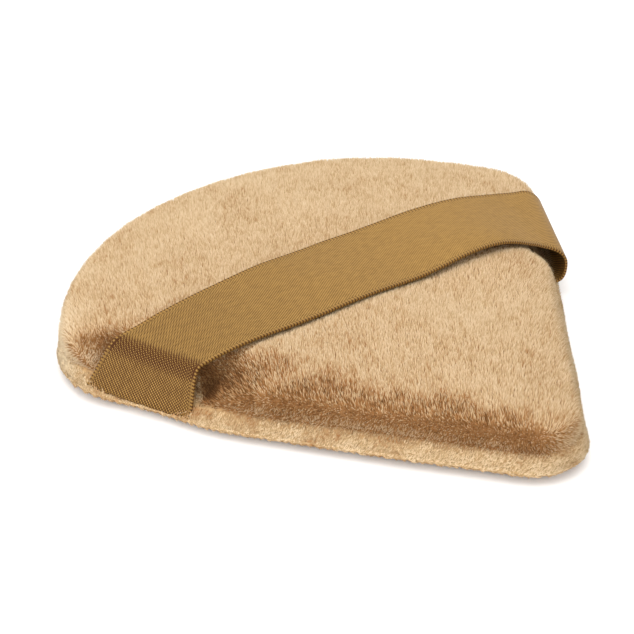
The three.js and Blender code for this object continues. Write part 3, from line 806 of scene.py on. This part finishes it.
class PUFF_OT_pile(bpy.types.Operator):
    """Velour pile on both covers."""
    bl_idname = "puff.pile"
    bl_label = "Velour pile"

    def execute(self, context):
        pile, plan = context.scene.puff_pile, Plan(context.scene.puff_pad)
        bm = bmesh.new()
        bmesh.ops.create_cone(bm, cap_ends=False, segments=3, radius1=pile.thickness / 2, radius2=0,
                              depth=pile.length, matrix=Matrix.Translation((0, 0, pile.length / 2)))
        bmesh.ops.remove_doubles(bm, verts=bm.verts, dist=0.001 * MM)
        tuft = piece_from("tuft", bm)
        give_field(tuft.data, "rise", vertex_array(tuft.data, "co")[:, 2] / pile.length)
        tree = pile_tree(tuft, pile.stray)
        seed = next(i.identifier for i in tree.interface.items_tree if i.name == "Seed")
        material = velour_pile_material(pile)
        for cover_name, fields, coats in (("velour_upper", upper_nap, 5), ("velour_lower", lower_nap, 3)):
            cover = bpy.data.objects[cover_name]
            places, normals = vertex_array(cover.data, "co"), vertex_array(cover.data, "normal")
            nap = fields(places, normals, plan, context.scene)
            nap["crowd"] /= coats
            nap["skin"] = normals
            for coat in range(coats):
                ground = cover.data.copy()
                for name, values in nap.items():
                    give_field(ground, name, values)
                piece = new_piece(f"{cover_name}_pile_{coat + 1}", ground)
                grow = piece.modifiers.new("pile", "NODES")
                grow.node_group = tree
                grow[seed] = 101 * coat + 7
                apply_modifiers(piece)
                self.finish_pile(piece, material)
                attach(piece, "pad")
        bpy.data.node_groups.remove(tree)
        bpy.data.meshes.remove(tuft.data)
        return {"FINISHED"}

    def finish_pile(self, piece, material):
        """Gives the tufts the softness of a nap, and a place on the palette by tone and height."""
        mesh = piece.data
        rise, tone = take_field(mesh, "rise", 1), take_field(mesh, "tone", 1)
        tone += STREAK_TONE * (take_field(mesh, "streak", 1) - 0.5)
        tone += take_field(mesh, "vary", 1) * (take_field(mesh, "chance", 1) - 0.5)
        tone = np.clip(tone, 0.02, 0.98)
        skin = take_field(mesh, "skin", 3)
        for name in ("nap", "reach", "crowd"):
            mesh.attributes.remove(mesh.attributes[name])
        soft = unit(take_field(mesh, "soft", 1)[:, None] * vertex_array(mesh, "normal") + skin)
        corners = np.empty(len(mesh.loops), np.int32)
        mesh.loops.foreach_get("vertex_index", corners)
        spread = np.tile([-0.004, 0.004, 0], len(mesh.loops) // 3)  # so that no face is a line on the palette
        # Lifts part of the painted shade at the roots, by the share that the field gives
        rise = 1 - (1 - rise) * (1 - take_field(mesh, "glow", 1))
        palette = np.stack([tone[corners] + spread, 0.01 + 0.98 * rise[corners]], axis=1)
        mesh.uv_layers.new(name="OFBake").data.foreach_set("uv", palette.astype(np.float32).ravel())
        mesh.polygons.foreach_set("use_smooth", np.ones(len(mesh.polygons), bool))
        mesh.normals_split_custom_set_from_vertices(soft.tolist())
        mesh.materials.clear()
        mesh.materials.append(material)


# Route of each ribbon edge at its end, in millimetres: distance along the side from the sharp tip, distance
# outside the side, and height. The fold is on the pad's top, where the height is how far the ribbon stands
# clear of the pad, and the turn is the loop's outermost bend. The slack is how far the ribbon bows up between
# its fold and its middle, and a second number below 1 brings the bow nearer to the fold. The dip is how far
# the end presses the pad's edge down. Its reach is where that begins and where it is full, from the near
# edge's seam, and its inset is how far in from the pad's edge it fades out.
RIBBON_ENDS = {
    "left": {
        "side": -1, "dip": 3.8, "reach": (-12, 2), "inset": 7.5,
        "near": dict(fold=(50.9, -1.3, 0.0), turn=(51.7, 2.0, 1.5), seam=(52.2, -0.2, 2.2), slack=(0, 1)),
        "far": dict(fold=(63.4, -3.0, 1.5), turn=(67.4, 0.1, 2.4), seam=(67.8, -0.6, 2.2), slack=(0.5, 1))},
    "right": {
        "side": 1, "dip": 4.2, "reach": (-5, 4), "inset": 6,
        "near": dict(fold=(46.6, -2.4, 0.15), turn=(47, 1.5, 5), seam=(46.9, -0.2, 2.2), slack=(0.7, 0.9)),
        "far": dict(fold=(61.6, -4.2, 1.35), turn=(62.6, -0.6, 5.2), seam=(62.6, -0.6, 2.2), slack=(1.1, 1))},
}
FAR_CLEAR = 0.5 * MM  # how far the ribbon's far edge stands clear of the pad at its middle


class PUFF_OT_ribbon(bpy.types.Operator):
    """Satin finger strap: each half runs from the seam round its loop and over the pad to the middle."""
    bl_idname = "puff.ribbon"
    bl_label = "Satin ribbon"

    columns = [0, 0.012, 0.028, 0.05, 0.09, 0.2, 0.35, 0.5, 0.65, 0.8, 0.91, 0.95, 0.972, 0.988, 1]
    rows = 220

    def execute(self, context):
        pile, ribbon, plan = context.scene.puff_pile, context.scene.puff_ribbon, Plan(context.scene.puff_pad)
        cover, core = bpy.data.objects["velour_upper"], bpy.data.objects["foam_core"]
        ground = skin_of(cover)
        lift = PILE_DRAW * pile.length + 0.1 * MM + ribbon.thickness / 2
        material = satin_material(ribbon)
        for name, end in RIBBON_ENDS.items():
            routes = [self.route(plan, ribbon, end, share, ground, lift) for share in self.columns]
            half = self.woven(f"ribbon_{name}", ribbon, end["side"], routes, material)
            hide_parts(f"strap_{name}_end", "strap_span")
            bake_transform(half)
        for padding in (cover, core):
            set_places(padding.data, pinch(vertex_array(padding.data, "co"), plan))
        self.tuck(core, cover)
        return {"FINISHED"}

    def tuck(self, core, cover):
        """Keeps the foam a gap inside the cover that presses on it, above the rebate for the seam."""
        gap, rebate_top = 0.5 * MM, 3 * MM
        skin = skin_of(cover)
        for vert in core.data.vertices:
            if vert.co.z > rebate_top:
                place, normal = skin.find_nearest(vert.co)[:2]
                vert.co -= normal * max(0, (vert.co - place).dot(normal) + gap)

    def route(self, plan, ribbon, end, share, ground, lift):
        """Even points along one warp thread from its tail to the ribbon's middle, its length, and the length
        up to its fold."""
        side, steps = end["side"], 48

        def between(step):
            near, far = end["near"][step], end["far"][step]
            return [MM * (n + (f - n) * share) for n, f in zip(near, far)]

        def height(point):
            hit = ground.ray_cast(Vector((point.x, point.y, 1)), Vector((0, 0, -1)))[0]
            return hit.z + lift

        run = Vector((math.cos(ribbon.skew), -math.sin(ribbon.skew))) * side
        across = Vector((math.sin(ribbon.skew), math.cos(ribbon.skew)))
        start = plan.apex + Vector((0, ribbon.place)) + across * (ribbon.width * (share - 0.5))
        along, out, clear = between("fold")
        fold = plan.edge(side, along, out)[0]
        fold_place = Vector((*fold, height(fold) + clear))
        along, out, up = between("turn")
        turn, facing = plan.edge(side, along, out)
        turn, facing = Vector((*turn, up)), Vector((*facing, 0))
        along, out, up = between("seam")
        mouth = Vector((*plan.edge(side, along, out)[0], up))
        tail = Vector((*plan.edge(side, along, -ribbon.tail)[0], up))
        length = (start - fold).length
        bent, straight = fold - run * 0.25 * length, start + run * 0.4 * length
        slack, lean = between("slack")
        span = []
        for k, p in enumerate(interpolate_bezier(fold, bent, straight, start, steps)[1:], 1):
            t = k / (steps - 1)
            bow = slack * math.sin(math.pi * t ** (lean / MM)) ** 2
            stand = clear * (1 - t) ** 2 + bow + FAR_CLEAR * share * t * (2 - t)
            span.append(Vector((p.x, p.y, height(p) + stand)))
        if side < 0:
            leaving, falling = Vector((*run, -0.15)), (turn - fold_place).normalized()
            handles = (1.6, 3, 0.5, 0.5)
        else:
            leaving, falling = (fold_place - span[3]).normalized(), Vector((0, 0, -1))
            handles = (2.5, 2.2, 1.8, 1.2)
        after_fold, before_turn, after_turn, before_mouth = (MM * handle for handle in handles)
        outside = interpolate_bezier(fold_place, fold_place + leaving * after_fold,
                                     turn - falling * before_turn, turn, 20)
        under = interpolate_bezier(turn, turn + falling * after_turn,
                                   mouth + facing * before_mouth, mouth, 12)
        line = [tail, *reversed(under), *reversed(outside[:-1]), *span]
        points = np.array([tuple(p) for p in line])
        lengths = lengths_along(points)
        even = points_at(points, lengths, np.linspace(0, lengths[-1], self.rows + 1))
        return even, lengths[-1], lengths[len(under) + len(outside) - 1]

    def woven(self, name, ribbon, side, routes, material):
        """Grid of cloth laid along the routes, with its thickness, its weave's own map and how far it bends
        from the light, which also sets the painted shade of the ribbon."""
        columns, rows = self.columns, self.rows
        left_shade, flap_shade, loop_shade = 0.42, 0.16, 0.48
        bm = bmesh.new()
        bmesh.ops.create_grid(bm, x_segments=len(columns) - 1, y_segments=rows, size=1)
        weave, bake = bm.loops.layers.uv.new("weave"), bm.loops.layers.uv.new("OFBake")
        bend = bm.verts.layers.float.new("bend")
        length = routes[len(routes) // 2][1]
        at = {v: (round((v.co.x + 1) / 2 * (len(columns) - 1)), round((v.co.y + 1) / 2 * rows))
              for v in bm.verts}
        for vert, (c, r) in at.items():
            even, total, fold = routes[c]
            vert.co = even[r]
            past = total * r / rows - fold
            # Painted shade, which also opens the weave's rows: darker towards the left end, in a band at the
            # left fold, over the left flap and inside the right loop
            turned = left_shade * min(1, max(0, (15 * MM - vert.co.x) / (45 * MM)))
            if side < 0:
                fold_shade = math.exp(-((past + 1.2 * MM) / (2.0 * MM)) ** 2)
                turned = max(turned + flap_shade * float(mm_share(0, 1, -past)), fold_shade)
            else:
                turned = max(turned, loop_shade * float(mm_share(1, 6, -past)))
            vert[bend] = turned
        for face in bm.faces:
            for loop in face.loops:
                c, r = at[loop.vert]
                loop[weave].uv = (side * (1 - r / rows) * length, columns[c] * ribbon.width)
                loop[bake].uv = (0.005 + 0.99 * columns[c], 0.005 + 0.99 * r / rows)
        bmesh.ops.recalc_face_normals(bm, faces=bm.faces)
        if max(bm.faces, key=lambda f: f.calc_center_median().z).normal.z < 0:
            bmesh.ops.reverse_faces(bm, faces=bm.faces)
        half = piece_from(name, bm)
        for _ in ("faces", "rim"):
            half.data.materials.append(material)
        thickness = half.modifiers.new("thickness", "SOLIDIFY")
        thickness.thickness = ribbon.thickness
        thickness.offset = 0
        thickness.material_offset_rim = 1
        apply_modifiers(half)
        sharp = set()
        for face in half.data.polygons:
            if face.material_index:
                sharp.update(face.edge_keys)
                face.material_index = 0
        for edge in half.data.edges:
            edge.use_edge_sharp = edge.key in sharp
        half.data.materials.pop()
        return half


class PUFF_OT_threads(bpy.types.Operator):
    """Lockstitch inside the seam, and the hand stitches that close the gap it was turned through."""
    bl_idname = "puff.threads"
    bl_label = "Threads"

    def execute(self, context):
        pad, sewing = context.scene.puff_pad, context.scene.puff_thread
        plan = Plan(pad)
        material = thread_material(sewing)
        machine = self.even(plan.round_edge(sewing.inset, True))
        stitch = np.abs(np.sin(np.arange(len(machine)) * sewing.grain * math.pi / sewing.stitch))
        machine[:, 2] = sewing.height - 0.3 * MM * (1 - stitch) ** 4
        hand = self.even(plan.round_edge(0.6 * MM, False))
        slant = np.arange(len(hand)) * sewing.grain / sewing.hand_stitch
        hand[:, 2] = pad.seam_height + 0.45 * MM * (2 * np.abs(2 * (slant % 1) - 1) - 1)
        for name, node, route in (("lockstitch", "seam_thread", machine),
                                  ("hand_stitches", "closing_thread", hand)):
            route = pinch(side_bow(seam_lift(route, plan, pad), plan), plan)
            thread = self.plied(name, route, sewing)
            thread.data.materials.append(material)
            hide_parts(node)
            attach(thread, "pad")
        return {"FINISHED"}

    def even(self, points):
        """The route in even steps of the thread's grain."""
        lengths = lengths_along(points)
        return points_at(points, lengths, np.arange(0, lengths[-1], bpy.context.scene.puff_thread.grain))

    def plied(self, name, route, sewing):
        """Two plies that wind round each other along the route."""
        curve = bpy.data.curves.new(name, "CURVE")
        curve.dimensions = "3D"
        ply_radius, ply_offset = 0.27, 0.23
        curve.bevel_depth = ply_radius * sewing.thickness
        curve.bevel_resolution = 1
        ways = unit(np.gradient(route, axis=0))
        beside = unit(np.cross(ways, (0, 0, 1)))
        above = np.cross(beside, ways)
        turn = np.arange(len(route)) * sewing.grain * 2 * math.pi / sewing.twist
        for ply in (0, math.pi):
            wound = beside * np.cos(turn + ply)[:, None] + above * np.sin(turn + ply)[:, None]
            spline = curve.splines.new("POLY")
            spline.points.add(len(route) - 1)
            places = route + ply_offset * sewing.thickness * wound
            weighted = np.concatenate([places, np.ones((len(route), 1))], axis=1)
            spline.points.foreach_set("co", weighted.ravel())
        drawn = new_piece(name, curve)
        mesh = bpy.data.meshes.new_from_object(drawn.evaluated_get(bpy.context.evaluated_depsgraph_get()))
        bpy.data.objects.remove(drawn)
        bpy.data.curves.remove(curve)
        mesh.name = name
        return new_piece(name, mesh)


LIGHTS = {  # place and size in metres, and power in watts
    "overhead": ((0.05, 0.08, 0.6), 0.7, 2.35),
    "front": ((-0.3, -0.6, 0.3), 0.6, 2.4),
    "left": ((-0.6, 0.15, 0.2), 0.5, 1.6),
}


class PUFF_OT_stage(bpy.types.Operator):
    """Camera, pale floor and soft studio light."""
    bl_idname = "puff.stage"
    bl_label = "Stage"

    def execute(self, context):
        scene, stage = context.scene, context.scene.puff_stage
        turn = Euler((math.pi / 2 - stage.elevation, 0, stage.azimuth)).to_matrix()
        turn = turn @ Matrix.Rotation(stage.roll, 3, "Z")
        data = bpy.data.cameras.new("camera")
        data.lens = stage.lens
        data.sensor_width = 36
        data.clip_start = 0.01
        camera = bpy.data.objects.new("camera", data)
        camera.matrix_world = Matrix.LocRotScale(
            Vector(stage.aim) + turn @ Vector((0, 0, stage.distance)), turn, None)
        scene.collection.objects.link(camera)
        scene.camera = camera

        bm = bmesh.new()
        bmesh.ops.create_grid(bm, x_segments=1, y_segments=1, size=2)
        floor = piece_from("floor", bm)
        material, _, shader = new_material("matt white board", 1, 0)
        shader.inputs["Base Color"].default_value = (*stage.floor, 1)
        floor.data.materials.append(material)

        for name, (place, size, power) in LIGHTS.items():
            data = bpy.data.lights.new(name, "AREA")
            data.size, data.energy = size, power
            light = bpy.data.objects.new(name, data)
            turn = Vector(place).to_track_quat("Z", "Y")
            light.matrix_world = Matrix.LocRotScale(Vector(place), turn, None)
            scene.collection.objects.link(light)
        world = bpy.data.worlds.new("studio")
        world.use_nodes = True
        background = world.node_tree.nodes["Background"]
        background.inputs["Color"].default_value = (1, 1, 1, 1)
        background.inputs["Strength"].default_value = 0.9
        scene.world = world
        scene.view_settings.view_transform = "Standard"
        return {"FINISHED"}


class PUFF_PT_panel(bpy.types.Panel):
    """Lists the steps that build the puff."""
    bl_label = "Powder puff"
    bl_idname = "PUFF_PT_panel"
    bl_space_type = "VIEW_3D"
    bl_region_type = "UI"
    bl_category = "Powder puff"

    def draw(self, context):
        for step in STEPS:
            self.layout.operator(step.bl_idname)
        for group in SETTINGS:
            settings = getattr(context.scene, group)
            box = self.layout.box()
            for name in settings.__annotations__:
                box.prop(settings, name)


STEPS = (PUFF_OT_stage, PUFF_OT_foam, PUFF_OT_covers, PUFF_OT_ribbon, PUFF_OT_pile, PUFF_OT_threads)
SETTINGS = {"puff_pad": PadSettings, "puff_pile": PileSettings, "puff_ribbon": RibbonSettings,
            "puff_thread": ThreadSettings, "puff_stage": StageSettings}


def register():
    for kind in (*SETTINGS.values(), *STEPS, PUFF_PT_panel):
        bpy.utils.register_class(kind)
    for name, kind in SETTINGS.items():
        setattr(bpy.types.Scene, name, PointerProperty(type=kind))


def unregister():
    for name in SETTINGS:
        delattr(bpy.types.Scene, name)
    for kind in reversed((*SETTINGS.values(), *STEPS, PUFF_PT_panel)):
        bpy.utils.unregister_class(kind)


def main():
    register()
    bpy.ops.puff.stage()
    bpy.ops.puff.foam()
    bpy.ops.puff.covers()
    bpy.ops.puff.ribbon()
    bpy.ops.puff.pile()
    bpy.ops.puff.threads()


if __name__ == "__main__":
    main()
